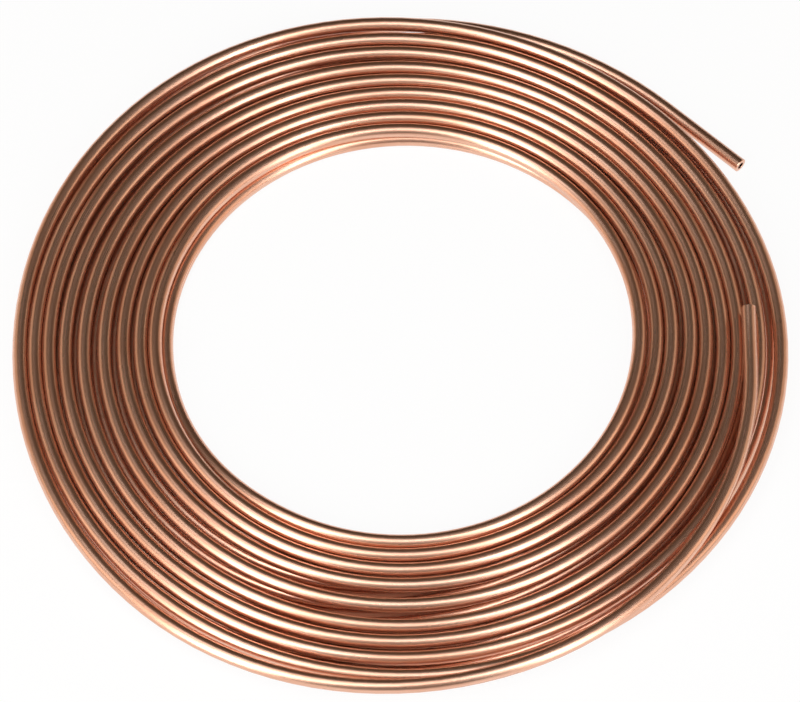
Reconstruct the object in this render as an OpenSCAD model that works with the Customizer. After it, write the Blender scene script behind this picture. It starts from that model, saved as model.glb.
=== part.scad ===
/* [Tube] */
// Outside diameter of the tube
tube_od = 6.35; // [5.4:0.05:7.4]
// Thickness of the tube's wall
tube_wall = 0.76; // [0.5:0.01:1.2]

/* [Coil] */
// Outside diameter of the coil, over its outermost turn
coil_od = 339; // [320:1:380]
// Turns in the upper layer; the lower layer has one fewer, seated between them
upper_turns = 9; // [4:1:11]
// Distance from one turn to the next in a layer, centre to centre
turn_pitch = 7.76; // [7.4:0.02:9.6]
// How far one layer's turns press into the other's
seat = 0.08; // [0.04:0.01:0.2]

/* [Upper end] */
// Direction from the coil's axis in which the upper end leaves the outermost turn
climb_from = 245; // [230:1:255]
// Slope at which it leaves
climb_slope = 2.4; // [2.2:0.05:4]
// Bend radius while it follows the outermost turn
climb_r = 163.8; // [155:0.1:166]
// Angle that it bends through there
climb_bend = 56; // [50:1:66]
// Bend radius while it crosses the turns inside that one and comes level
cross_r = 144; // [120:0.5:155]
// Angle that it bends through there
cross_bend = 59; // [40:1:70]
// Straight stretch at its tip, level over the turns
upper_straight = 34; // [15:1:60]

/* [Lower end] */
// Direction from the coil's axis in which the lower end leaves the outermost turn of its layer
part_from = 125; // [110:1:140]
// Direction in which its straight stretch starts
straight_from = 46; // [30:1:60]
// Distance of the tube from the coil's axis where its straight stretch starts
straight_from_r = 172.5; // [168:0.5:180]
// Straight stretch at its tip
lower_straight = 44; // [15:1:60]

/* [Hidden] */
$fn = 96;
tube_id = tube_od - 2 * tube_wall;
lower_turns = upper_turns - 1;
outer_r = (coil_od - tube_od) / 2;
inner_r = outer_r - (upper_turns - 1) * turn_pitch;
lower_outer_r = outer_r - turn_pitch / 2;
lower_z = tube_od / 2;
upper_z = lower_z + sqrt(pow(tube_od - seat, 2) - pow(turn_pitch / 2, 2));
// A bend is this much slimmer than the stretch it runs into, and enters it this far
bend_thinning = 0.02;
overlap = 0.5;
// The closed bottom of each open end lies past the bend that enters it
bottom = overlap + 0.2;
// The upper end's second bend is rolled about the tube by this much, so that it ends level
level_roll = asin(-tan(climb_slope) * cos(climb_bend + cross_bend) / sin(cross_bend));
// The lower end bends about a centre that lies this far off the axis, toward its straight stretch
part_angle = part_from - straight_from;
part_offset = (pow(straight_from_r, 2) - pow(lower_outer_r, 2))
    / (2 * (straight_from_r - lower_outer_r * cos(part_angle)));
part_r = straight_from_r - part_offset;
part_bend = atan2(lower_outer_r * sin(part_angle), lower_outer_r * cos(part_angle) - part_offset);

module turns(count, first_r, z) {
    for (i = [0 : count - 1])
        translate([first_r + i * turn_pitch, z]) circle(d = tube_od);
}
module coil() {
    rotate_extrude() {
        turns(upper_turns, inner_r, upper_z);
        turns(lower_turns, inner_r + turn_pitch / 2, lower_z);
    }
}
// A bend that starts at the origin along +Y and turns to the left. What follows it starts at its end,
// which reaches a little way into it.
module bend(r, angle, d) {
    reach = overlap / r * 180 / PI;
    translate([-r, 0, 0]) {
        rotate_extrude(angle = angle + reach) translate([r, 0]) circle(d = d);
        rotate([0, 0, angle]) translate([r, 0, 0]) children();
    }
}
// A straight open end of the tube that starts at the origin along +Y
module open_end(length) {
    rotate([-90, 0, 0])
        difference() {
            cylinder(h = length, d = tube_od);
            translate([0, 0, bottom]) cylinder(h = length, d = tube_id);
        }
}
module upper_end() {
    rotate([0, 0, climb_from]) translate([outer_r, 0, upper_z]) rotate([climb_slope, 0, 0])
        bend(climb_r, climb_bend, tube_od - 2 * bend_thinning)
            rotate([0, level_roll, 0])
                bend(cross_r, cross_bend, tube_od - bend_thinning)
                    open_end(upper_straight);
}
module lower_end() {
    rotate([0, 0, straight_from]) translate([part_offset, 0, lower_z])
        mirror([0, 1, 0]) rotate([0, 0, -part_bend]) translate([part_r, 0, 0])
            bend(part_r, part_bend, tube_od - bend_thinning)
                open_end(lower_straight);
}
module copper_tube() {
    color("peru") {
        coil();
        upper_end();
        lower_end();
    }
}

copper_tube();
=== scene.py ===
"""A flat coil of soft copper tube in two layers, on a pale floor among soft boxes of light."""

from math import cos, floor, pi, radians, sin

import bmesh
import bpy
from bpy.props import FloatProperty, FloatVectorProperty, IntProperty, PointerProperty
from mathutils import Matrix, Vector


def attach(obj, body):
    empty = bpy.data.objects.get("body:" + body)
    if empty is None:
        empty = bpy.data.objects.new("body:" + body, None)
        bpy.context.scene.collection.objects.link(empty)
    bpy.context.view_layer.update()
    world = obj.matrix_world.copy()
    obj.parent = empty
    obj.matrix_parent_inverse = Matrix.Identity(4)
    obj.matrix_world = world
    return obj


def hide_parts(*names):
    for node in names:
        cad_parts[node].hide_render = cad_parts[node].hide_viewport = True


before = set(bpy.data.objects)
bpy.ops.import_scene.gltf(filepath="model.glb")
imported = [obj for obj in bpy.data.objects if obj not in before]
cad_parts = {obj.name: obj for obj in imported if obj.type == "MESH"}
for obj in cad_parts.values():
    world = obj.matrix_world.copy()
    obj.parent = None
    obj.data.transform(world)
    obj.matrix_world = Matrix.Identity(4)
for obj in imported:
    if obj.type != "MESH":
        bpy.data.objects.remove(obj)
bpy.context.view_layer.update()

bl_info = {
    "name": "Copper tube coil",
    "version": (1, 0, 0),
    "blender": (4, 5, 0),
    "location": "View3D > Sidebar > Coil",
    "description": "A flat coil of soft copper tube in two layers",
    "category": "Add Mesh",
}

MM = 0.001
FULL_TURN = 360.0
UP = Vector((0.0, 0.0, 1.0))
# The upper layer is described in these six directions from the coil's axis, in winding order.
# Winding angles grow clockwise from the right, so the first direction lies at 120 degrees.
SIDES = ("front_left", "left", "back_left", "back_right", "right", "front_right")
SIDE_STEP = FULL_TURN / len(SIDES)
FIRST_SIDE = 2 * SIDE_STEP
# Half of the winding angle over which the tube's heading is measured
HEADING_REACH = 0.5
# Rounds in which the handles of the smooth curve settle
HANDLE_ROUNDS = 8
# Name of the attribute that holds each point's place on the tube as if it lay straight
DRAWN = "drawn"
# Cells of the drawn lines and of the patches for each metre across the tube, both ways, and along it
LINES = (900.0, 900.0, 22.0)
PATCHES = (70.0, 70.0, 22.0)
# How much of the patches and of the lines shows in the tarnish, and where it starts and is full
TARNISH_PARTS = (0.8, 0.2)
TARNISH_STOPS = ((0.42, (0, 0, 0, 1)), (0.72, (1, 1, 1, 1)))
# Height of the drawn lines in metres, and how strongly they show
LINE_HEIGHT = 0.0001
LINE_STRENGTH = 0.12
# Roughness that each of the two patterns adds at most
PATTERN_ROUGHNESS = 0.1
# Between these distances from the axis the floor under the coil is painted a dark reddish shade, which
# stands in for the coil's shadow and the copper-coloured light that the coil throws there
UNDER_COIL = (0.109, 0.162)
PAPER = (0.9, 0.9, 0.9, 1.0)
# Painted shade: the dark reddish colour of the floor ring under the coil, in place of its shadow and bounced
# copper light
PAINTED_SHADE_COLOUR = (0.55, 0.22, 0.13, 1.0)
# Share of plain white in what the camera and the copper see of the open floor
WHITE_SHARE = 0.92
ROOM_COLOUR = (1.0, 0.66, 0.34, 1.0)
# Sensor width in mm, and how far the camera sees in metres
SENSOR = 36.0
CAMERA_REACH = 20.0


def gap_list(label, default):
    return FloatVectorProperty(
        name=label,
        description="Gaps between neighbouring turns of the upper layer, in mm, from the outside inward",
        size=len(default),
        default=default,
        min=0.0,
    )


class TubeSettings(bpy.types.PropertyGroup):
    diameter: FloatProperty(name="Diameter", description="Outside diameter, in mm", default=6.35)
    wall: FloatProperty(name="Wall", description="Thickness of the wall, in mm", default=0.762)
    facets: IntProperty(name="Facets", description="Facets around the tube", default=28)
    ring_step: FloatProperty(
        name="Ring step", description="Winding angle between rings outside, in degrees", default=3.0
    )
    bore_step: FloatProperty(
        name="Bore step", description="Winding angle between rings inside, in degrees", default=9.0
    )
    cut_rounding: FloatProperty(
        name="Cut rounding", description="How far the cutter pressed the cut edge in, in mm", default=0.3
    )


class CoilSettings(bpy.types.PropertyGroup):
    outer_radii: FloatVectorProperty(
        name="Outer radii",
        description="Distance of the outermost turn from the axis in the six directions, in mm",
        size=6,
        default=(169.8, 166.0, 168.7, 164.1, 166.6, 163.8),
    )
    front_left: gap_list("Front left", (1.55, 1.25, 1.15, 1.25, 3.45, 3.45, 0.95, 0.35, 0.05))
    left: gap_list("Left", (0.05, 0.05, 0.75, 1.75, 2.45, 1.95, 1.05, 0.05))
    back_left: gap_list("Back left", (2.25, 0.95, 2.45, 1.25, 1.15, 0.35, 0.45, 0.15))
    back_right: gap_list("Back right", (1.15, 1.05, 0.45, 0.05, 0.15, 0.45, 0.05, 0.55))
    right: gap_list("Right", (2.95, 2.95, 0.25, 1.05, 0.55, 1.85, 0.35, 1.05))
    front_right: gap_list("Front right", (2.65, 1.85, 0.95, 3.15, 2.45, 1.15, 0.75, 0.25))
    upper_end_radii: FloatVectorProperty(
        name="Upper end radii",
        description="Radii at -60, 0 and 60 degrees that bring the upper end in over its neighbours, in mm",
        size=3,
        default=(134.0, 151.6, 166.6),
    )
    lower_inner: FloatVectorProperty(
        name="Lower inner",
        description="Radii at which the lower layer starts, at the left and the back, in mm",
        size=3,
        default=(102.4, 107.0, 110.3),
    )
    lower_shifts: FloatVectorProperty(
        name="Lower shifts",
        description="How far outward the lower turns lie from the middle of the upper grooves, in mm",
        size=6,
        default=(-3.2, 0.0, 3.2, 3.9, 0.0, -3.5),
    )
    lower_outer: FloatVectorProperty(
        name="Lower outer",
        description="Radii at which the lower end parts from its layer, at its last two directions, in mm",
        size=2,
        default=(172.4, 175.8),
    )
    crossing_start: FloatProperty(
        name="Crossing start", description="Winding angle at which the tube starts down", default=3355.0
    )
    crossing_end: FloatProperty(
        name="Crossing end", description="Winding angle at which it lies in the lower layer", default=3412.0
    )
    climb_height: FloatProperty(
        name="Climb height", description="Height of the upper end over its layer, in mm", default=6.35
    )
    climb_top: FloatProperty(
        name="Climb top", description="Winding angle at which the upper end is fully up", default=70.0
    )
    climb_foot: FloatProperty(
        name="Climb foot", description="Winding angle at which it leaves its layer", default=135.0
    )
    upper_bend_end: FloatProperty(
        name="Upper bend end", description="Winding angle at which the upper end turns straight", default=6.3
    )
    upper_straight: FloatProperty(
        name="Upper straight", description="Straight stretch of the upper end, in mm", default=30.5
    )
    lower_bend_end: FloatProperty(
        name="Lower bend end",
        description="Winding angle at which the lower end turns straight",
        default=6434.0,
    )
    lower_straight: FloatProperty(
        name="Lower straight", description="Straight stretch of the lower end, in mm", default=44.0
    )


class FinishSettings(bpy.types.PropertyGroup):
    clean_colour: FloatVectorProperty(
        name="Clean copper",
        description="Colour of the copper between its patches of tarnish",
        subtype="COLOR",
        size=4,
        min=0.0,
        max=1.0,
        default=(0.87, 0.53, 0.39, 1.0),
    )
    tarnish_colour: FloatVectorProperty(
        name="Tarnished copper",
        description="Colour of the copper where the tarnish is full",
        subtype="COLOR",
        size=4,
        min=0.0,
        max=1.0,
        default=(0.77, 0.40, 0.26, 1.0),
    )
    shine_roughness: FloatProperty(
        name="Shine roughness",
        description="Least roughness of the copper's shine",
        subtype="FACTOR",
        min=0.0,
        max=1.0,
        default=0.18,
    )
    haze_roughness: FloatProperty(
        name="Haze roughness",
        description="Roughness of the haze in the copper's shine",
        subtype="FACTOR",
        min=0.0,
        max=1.0,
        default=0.46,
    )
    haze_share: FloatProperty(
        name="Haze share",
        description="Share of the haze in the copper's shine",
        subtype="FACTOR",
        min=0.0,
        max=1.0,
        default=0.27,
    )


class StageSettings(bpy.types.PropertyGroup):
    elevation: FloatProperty(
        name="Camera elevation",
        description="Camera's angle above the floor",
        default=radians(60),
        unit="ROTATION",
    )
    distance: FloatProperty(
        name="Camera distance",
        description="Distance from the camera to the point that it aims at",
        default=2.183,
        unit="LENGTH",
    )
    lens: FloatProperty(name="Lens", description="Focal length, in mm", default=225.0, unit="CAMERA")
    aim: FloatVectorProperty(
        name="Aim",
        description="Point at the centre of the picture",
        default=(0.00013, -0.0047, 0.0095),
        unit="LENGTH",
    )
    box_light: FloatProperty(
        name="Box light", description="Brightness of the two large soft boxes in front", default=4.8
    )
    top_light: FloatProperty(name="Top light", description="Brightness of the dim box overhead", default=1.6)
    side_light: FloatProperty(name="Side light", description="Brightness of the two side boxes", default=0.7)
    card_light: FloatProperty(name="Card light", description="Brightness of the two low cards", default=0.52)
    room_light: FloatProperty(
        name="Room light", description="Strength of the dim, warm room light", default=0.045
    )


class Wire:
    """One shader socket. Arithmetic on it adds Math nodes."""

    def __init__(self, graph, socket):
        self.graph, self.socket = graph, socket

    def math(self, operation, first, second=0.0):
        return self.graph.node("ShaderNodeMath", {"operation": operation}, {0: first, 1: second})

    def __add__(self, other):
        return self.math("ADD", self, other)

    __radd__ = __add__

    def __mul__(self, other):
        return self.math("MULTIPLY", self, other)

    __rmul__ = __mul__

    def __sub__(self, other):
        return self.math("SUBTRACT", self, other)

    def __rsub__(self, other):
        return self.math("SUBTRACT", other, self)

    def __gt__(self, other):
        return self.math("GREATER_THAN", self, other)

    def __lt__(self, other):
        return self.math("LESS_THAN", self, other)


class Graph:
    """A node tree, filled by one method that takes a node's type, settings and inputs."""

    def __init__(self, tree):
        self.tree = tree
        tree.nodes.clear()

    def node(self, kind, settings, inputs, output=0):
        made = self.tree.nodes.new(kind)
        for key, value in settings.items():
            if key == "stops":
                self.set_stops(made.color_ramp, value)
            else:
                setattr(made, key, value)
        for key, value in inputs.items():
            if isinstance(value, Wire):
                self.tree.links.new(value.socket, made.inputs[key])
            else:
                made.inputs[key].default_value = value
        return Wire(self, made.outputs[output]) if made.outputs else made

    @staticmethod
    def set_stops(ramp, stops):
        for i, (place, colour) in enumerate(stops):
            stop = ramp.elements[i] if i < 2 else ramp.elements.new(place)
            stop.position, stop.color = place, colour


def new_material(name):
    material = bpy.data.materials.new(name)
    material.use_nodes = True
    return material, Graph(material.node_tree)


def noise(graph, place, stretch, detail, roughness):
    vector = graph.node("ShaderNodeVectorMath", {"operation": "MULTIPLY"}, {0: place, 1: stretch})
    return graph.node(
        "ShaderNodeTexNoise", {}, {"Vector": vector, "Scale": 1.0, "Detail": detail, "Roughness": roughness}
    )


def mixed_colour(graph, share, first, second):
    """The first colour where the share is 0, and the second where it is 1"""
    return graph.node("ShaderNodeMix", {"data_type": "RGBA"}, {"Factor": share, 6: first, 7: second}, 2)


def copper_material(finish):
    """Soft-drawn copper: fine lines along the tube, a haze in its shine, thin brown tarnish in patches"""
    material, graph = new_material("drawn_copper")
    place = graph.node("ShaderNodeAttribute", {"attribute_name": DRAWN}, {}, "Vector")
    lines = noise(graph, place, LINES, 1.0, 0.55)
    patches = noise(graph, place, PATCHES, 4.0, 0.6)
    worn = patches * TARNISH_PARTS[0] + lines * TARNISH_PARTS[1]
    tarnish = graph.node("ShaderNodeValToRGB", {"stops": TARNISH_STOPS}, {"Fac": worn})
    colour = mixed_colour(graph, tarnish, finish.clean_colour, finish.tarnish_colour)
    roughness = finish.shine_roughness + PATTERN_ROUGHNESS * lines + PATTERN_ROUGHNESS * patches
    bump = graph.node(
        "ShaderNodeBump", {}, {"Height": lines, "Strength": LINE_STRENGTH, "Distance": LINE_HEIGHT}
    )
    shine = graph.node(
        "ShaderNodeBsdfPrincipled",
        {},
        {
            "Base Color": colour,
            "Metallic": 1.0,
            "Roughness": roughness,
            "Normal": bump,
        },
    )
    haze = graph.node(
        "ShaderNodeBsdfPrincipled",
        {},
        {
            "Base Color": colour,
            "Metallic": 1.0,
            "Roughness": finish.haze_roughness,
            "Normal": bump,
        },
    )
    surface = graph.node("ShaderNodeMixShader", {}, {0: finish.haze_share, 1: shine, 2: haze})
    graph.node("ShaderNodeOutputMaterial", {}, {"Surface": surface})
    return material


def floor_material():
    """Pale paper that the camera and the copper see as white, with the coil's shadow left on it. A ring
    under the coil is painted a dark reddish shade and gets none of the white.
    """
    material, graph = new_material("pale_floor")
    place = graph.node("ShaderNodeTexCoord", {}, {}, "Object")
    away = graph.node("ShaderNodeVectorMath", {"operation": "LENGTH"}, {0: place}, "Value")
    # Painted shade: the ring of floor under the coil that takes the dark reddish colour
    painted_shade_ring = (away > UNDER_COIL[0]) * (away < UNDER_COIL[1])
    colour = mixed_colour(graph, painted_shade_ring, PAPER, PAINTED_SHADE_COLOUR)
    paper = graph.node("ShaderNodeBsdfDiffuse", {}, {"Color": colour})
    white = graph.node("ShaderNodeEmission", {}, {"Color": (1.0, 1.0, 1.0, 1.0), "Strength": 1.0})
    seen = graph.node("ShaderNodeLightPath", {}, {}, "Is Camera Ray")
    mirrored = graph.node("ShaderNodeLightPath", {}, {}, "Is Glossy Ray")
    passed = graph.node("ShaderNodeLightPath", {}, {}, "Is Transmission Ray")
    # The painted-shade ring gets none of the white
    share = (seen + mirrored + passed) * (WHITE_SHARE * (1.0 - painted_shade_ring))
    surface = graph.node("ShaderNodeMixShader", {}, {0: share, 1: paper, 2: white})
    graph.node("ShaderNodeOutputMaterial", {}, {"Surface": surface})
    return material


def smooth_step(low, high, value):
    share = min(max((value - low) / (high - low), 0.0), 1.0)
    return share * share * (3.0 - 2.0 * share)


def handles(values):
    """Handles of the smooth curve that passes through the values"""
    found = list(values)
    for _ in range(HANDLE_ROUNDS):
        bends = [before - 2 * here + after for before, here, after in zip(found, found[1:], found[2:])]
        found[1:-1] = [value - bend / 6 for value, bend in zip(values[1:-1], bends)]
    return found


def curve_value(controls, position):
    """Uniform cubic B-spline through four of its handles"""
    index = min(max(int(floor(position)), 1), len(controls) - 3)
    u = position - index
    weights = (
        (1 - u) ** 3 / 6,
        (3 * u**3 - 6 * u**2 + 4) / 6,
        (-3 * u**3 + 3 * u**2 + 3 * u + 1) / 6,
        u**3 / 6,
    )
    return sum(weight * controls[index - 1 + i] for i, weight in enumerate(weights))


class Winding:
    """The tube's centre line, from the upper end's tip through both layers to the lower end's tip."""

    def __init__(self, tube, coil):
        self.tube, self.coil = tube, coil
        self.controls = self.radii()

    def radii(self):
        """Values that the radius is smoothed between, one for each side that the tube passes"""
        coil = self.coil
        upper = {side: self.upper_radii(side, outer) for side, outer in zip(SIDES, coil.outer_radii)}
        turns = len(upper[SIDES[1]])
        controls = list(coil.upper_end_radii)
        controls += [upper[side][turn] for turn in range(turns) for side in SIDES]
        controls.append(upper[SIDES[0]][turns])
        controls += coil.lower_inner
        lower_sides = SIDES[4:] + SIDES[:4]
        lower = [self.under_groove(upper, side, turn) for turn in range(turns - 1) for side in lower_sides]
        return handles(controls + lower[:-1] + list(coil.lower_outer))

    def upper_radii(self, side, outer):
        """The upper layer's turns at one side, from the outside inward"""
        radii = [outer]
        for gap in getattr(self.coil, side):
            radii.append(radii[-1] - gap - self.tube.diameter)
        return radii

    def under_groove(self, upper, side, turn):
        """Where a lower turn, counted from the innermost, lies under two upper ones at a side"""
        radii = upper[side]
        inner = len(upper["left"]) - 1 - turn - (side == "back_right")
        return (radii[inner] + radii[inner - 1]) / 2 + self.coil.lower_shifts[SIDES.index(side)]

    def height(self, angle):
        coil, diameter = self.coil, self.tube.diameter
        low = diameter / 2
        down = smooth_step(coil.crossing_start, coil.crossing_end, angle)
        climb = 1.0 - smooth_step(coil.climb_top, coil.climb_foot, angle)
        return low + diameter * (1.0 - down) + coil.climb_height * climb

    def point(self, angle):
        before = len(self.coil.upper_end_radii)
        radius = curve_value(self.controls, (angle - FIRST_SIDE) / SIDE_STEP + before)
        turned = radians(angle)
        return Vector((radius * cos(turned), -radius * sin(turned), self.height(angle))) * MM

    def heading(self, angle):
        return (self.point(angle + HEADING_REACH) - self.point(angle - HEADING_REACH)).normalized()

    def stations(self, step):
        """Points and headings from tip to tip, a winding angle apart along the bends"""
        coil = self.coil
        start, end = coil.upper_bend_end, coil.lower_bend_end
        first, last = self.heading(start), self.heading(end)
        steps = round((end - start) / step)
        route = [(self.point(start) - first * coil.upper_straight * MM, first)]
        route += [
            (self.point(start + (end - start) * i / steps), self.heading(start + (end - start) * i / steps))
            for i in range(steps + 1)
        ]
        route.append((self.point(end) + last * coil.lower_straight * MM, last))
        return route


def ring_matrix(point, heading, radius):
    """Places a unit ring square across the tube"""
    side = heading.cross(UP).normalized()
    top = side.cross(heading)
    turned = Matrix((side, top, heading)).transposed().to_4x4()
    return Matrix.Translation(point) @ turned @ Matrix.Diagonal((radius, radius, radius, 1.0))


def lengths_along(route):
    """Length of tube before each station"""
    along = [0.0]
    for (before, _), (after, _) in zip(route, route[1:]):
        along.append(along[-1] + (after - before).length)
    return along


class COIL_OT_tube(bpy.types.Operator):
    """Makes the whole tube, wound in its two layers, with its bore open from end to end"""

    bl_idname = "coil.tube"
    bl_label = "Make the tube"

    # How a cutter leaves an end: depth from the cut in mm, and share of the full rounding, outside and in
    # the bore. Outside it leaves a faint ridge beside the cut, and inside it presses the edge in.
    OUTSIDE_ROUNDING = ((0.0, 0.8), (0.1, 0.1), (0.25, -0.2), (0.5, -0.2), (0.8, 0.0))
    BORE_ROUNDING = ((0.0, 2.2), (0.12, 2.6), (0.5, 1.7), (1.0, 0.6), (1.8, 0.0))
    # Rings in one stretch; a short stretch keeps each extrusion quick
    STRETCH = 60
    # Points of two stretches are one where they lie closer than this share of the wall
    SAME_POINT = 0.05

    def execute(self, context):
        tube, coil = context.scene.coil_tube, context.scene.coil_winding
        winding = Winding(tube, coil)
        mesh = bpy.data.meshes.new("wound_tube")
        piece = bpy.data.objects.new("wound_tube", mesh)
        context.collection.objects.link(piece)
        self.build(tube, winding, mesh)
        mesh.materials.append(copper_material(context.scene.coil_finish))
        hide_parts("copper_tube")
        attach(piece, "root")
        return {"FINISHED"}

    def sections(self, tube, winding):
        """Every ring in turn: place, heading, radius and length of tube before it.

        They run along the outside from tip to tip, back through the bore and on to the first again.
        """
        outer = tube.diameter / 2 * MM
        inner = outer - tube.wall * MM
        rounding = tube.cut_rounding * MM
        outside, bore = winding.stations(tube.ring_step), winding.stations(tube.bore_step)
        (tip, heading), (far_tip, far_heading) = outside[0], outside[-1]
        total = lengths_along(outside)[-1]

        def near(depth, radius):
            return tip + heading * depth * MM, heading, radius, depth * MM

        def far(depth, radius):
            return far_tip - far_heading * depth * MM, far_heading, radius, total - depth * MM

        def wall(stations, radius):
            along = lengths_along(stations)
            return [(*station, radius, length) for station, length in zip(stations, along)][1:-1]

        rings = [near(depth, outer - rounding * share) for depth, share in self.OUTSIDE_ROUNDING]
        rings += wall(outside, outer)
        rings += [far(depth, outer - rounding * share) for depth, share in reversed(self.OUTSIDE_ROUNDING)]
        rings += [far(depth, inner - rounding * share) for depth, share in self.BORE_ROUNDING]
        rings += reversed(wall(bore, inner))
        rings += [near(depth, inner - rounding * share) for depth, share in reversed(self.BORE_ROUNDING)]
        return rings + rings[:1]

    def build(self, tube, winding, mesh):
        rings = self.sections(tube, winding)
        whole = bmesh.new()
        for start in range(0, len(rings) - 1, self.STRETCH):
            self.extrude_rings(tube.facets, rings[start : start + self.STRETCH + 1], mesh)
            whole.from_mesh(mesh)
        bmesh.ops.remove_doubles(whole, verts=whole.verts, dist=tube.wall * MM * self.SAME_POINT)
        bmesh.ops.recalc_face_normals(whole, faces=whole.faces)
        for face in whole.faces:
            face.smooth = True
        whole.to_mesh(mesh)
        whole.free()

    def extrude_rings(self, facets, rings, mesh):
        """Makes a circle at the first ring and draws its edges through the others"""
        bm = bmesh.new()
        drawn = bm.verts.layers.float_vector.new(DRAWN)
        placed = Matrix()
        verts = bmesh.ops.create_circle(bm, cap_ends=False, radius=1.0, segments=facets)["verts"]
        for vertex in verts:
            vertex[drawn] = vertex.co * rings[0][2]
        edges = list(bm.edges)
        for number, (point, heading, radius, length) in enumerate(rings):
            if number:
                grown = bmesh.ops.extrude_edge_only(bm, edges=edges)["geom"]
                verts = [item for item in grown if isinstance(item, bmesh.types.BMVert)]
                edges = [item for item in grown if isinstance(item, bmesh.types.BMEdge)]
            target = ring_matrix(point, heading, radius)
            bmesh.ops.transform(bm, matrix=target @ placed.inverted(), verts=verts)
            for vertex in verts:
                vertex[drawn].z = length
            placed = target
        bm.to_mesh(mesh)
        bm.free()


class COIL_OT_stage(bpy.types.Operator):
    """Makes the floor, the room light, the soft boxes and cards, and the camera"""

    bl_idname = "coil.stage"
    bl_label = "Set the stage"

    WHITE = (1.0, 1.0, 1.0)
    WARM = (1.0, 0.8, 0.62)
    # Each lamp's place, width and height in metres, the setting that holds its brightness, and its colour
    LAMPS = {
        "left_box": ((-0.91, -0.98, 0.90), 0.64, 2.3, "box_light", WHITE),
        "right_box": ((0.85, -0.98, 0.94), 0.48, 2.3, "box_light", WHITE),
        "top_box": ((-0.22, -0.20, 1.56), 1.3, 0.8, "top_light", WHITE),
        "left_side": ((-1.31, -0.45, 0.80), 1.0, 1.1, "side_light", WARM),
        "right_side": ((1.35, -0.35, 0.77), 1.0, 1.0, "side_light", WARM),
        "left_card": ((-0.50, 0.10, 0.16), 0.75, 0.28, "card_light", WARM),
        "right_card": ((0.50, 0.10, 0.16), 0.75, 0.28, "card_light", WARM),
    }
    FLOOR_HALF_SIDE = 3.0

    def execute(self, context):
        stage = context.scene.coil_stage
        self.make_floor(context)
        self.make_room(context, stage)
        for name, (place, width, height, light, colour) in self.LAMPS.items():
            self.make_lamp(context, name, Vector(place), width, height, getattr(stage, light), colour)
        self.make_camera(context, stage)
        return {"FINISHED"}

    def make_floor(self, context):
        mesh = bpy.data.meshes.new("floor")
        bm = bmesh.new()
        bmesh.ops.create_grid(bm, x_segments=1, y_segments=1, size=self.FLOOR_HALF_SIDE)
        bm.to_mesh(mesh)
        bm.free()
        mesh.materials.append(floor_material())
        ground = bpy.data.objects.new("floor", mesh)
        context.collection.objects.link(ground)

    def make_room(self, context, stage):
        world = bpy.data.worlds.new("room")
        world.use_nodes = True
        graph = Graph(world.node_tree)
        light = graph.node("ShaderNodeBackground", {}, {"Color": ROOM_COLOUR, "Strength": stage.room_light})
        graph.node("ShaderNodeOutputWorld", {}, {"Surface": light})
        context.scene.world = world

    def make_lamp(self, context, name, place, width, height, brightness, colour):
        lamp = bpy.data.lights.new(name, "AREA")
        lamp.color = colour
        lamp.shape, lamp.size, lamp.size_y = "RECTANGLE", width, height
        lamp.energy = brightness * pi * width * height
        holder = bpy.data.objects.new(name, lamp)
        holder.location = place
        holder.rotation_euler = place.to_track_quat("Z", "Y").to_euler()
        holder.visible_camera = False
        context.collection.objects.link(holder)

    def make_camera(self, context, stage):
        camera = bpy.data.cameras.new("camera")
        camera.lens = stage.lens
        camera.sensor_width = SENSOR
        camera.sensor_fit = "HORIZONTAL"
        camera.clip_end = CAMERA_REACH
        holder = bpy.data.objects.new("camera", camera)
        back = Vector((0.0, -cos(stage.elevation), sin(stage.elevation)))
        holder.location = Vector(stage.aim) + back * stage.distance
        holder.rotation_euler = (radians(90) - stage.elevation, 0.0, 0.0)
        context.collection.objects.link(holder)
        context.scene.camera = holder


class COIL_PT_panel(bpy.types.Panel):
    """Lists what makes the coil and its stage"""

    bl_idname = "COIL_PT_panel"
    bl_label = "Copper tube coil"
    bl_space_type = "VIEW_3D"
    bl_region_type = "UI"
    bl_category = "Coil"

    # Each operator, after the groups of settings that it reads
    SECTIONS = {
        "coil.tube": ("coil_tube", "coil_winding", "coil_finish"),
        "coil.stage": ("coil_stage",),
    }

    def draw(self, context):
        for operator, groups in self.SECTIONS.items():
            for group in groups:
                self.draw_settings(getattr(context.scene, group))
            self.layout.operator(operator)

    def draw_settings(self, settings):
        for name in settings.bl_rna.properties.keys():
            if name not in ("rna_type", "name"):
                self.layout.prop(settings, name)


CLASSES = (
    TubeSettings,
    CoilSettings,
    FinishSettings,
    StageSettings,
    COIL_OT_tube,
    COIL_OT_stage,
    COIL_PT_panel,
)


def register():
    for item in CLASSES:
        bpy.utils.register_class(item)
    bpy.types.Scene.coil_tube = PointerProperty(type=TubeSettings)
    bpy.types.Scene.coil_winding = PointerProperty(type=CoilSettings)
    bpy.types.Scene.coil_finish = PointerProperty(type=FinishSettings)
    bpy.types.Scene.coil_stage = PointerProperty(type=StageSettings)


def unregister():
    del bpy.types.Scene.coil_stage
    del bpy.types.Scene.coil_finish
    del bpy.types.Scene.coil_winding
    del bpy.types.Scene.coil_tube
    for item in reversed(CLASSES):
        bpy.utils.unregister_class(item)


def main():
    register()
    bpy.context.scene.view_settings.view_transform = "Standard"
    bpy.ops.coil.tube()
    bpy.ops.coil.stage()


if __name__ == "__main__":
    main()
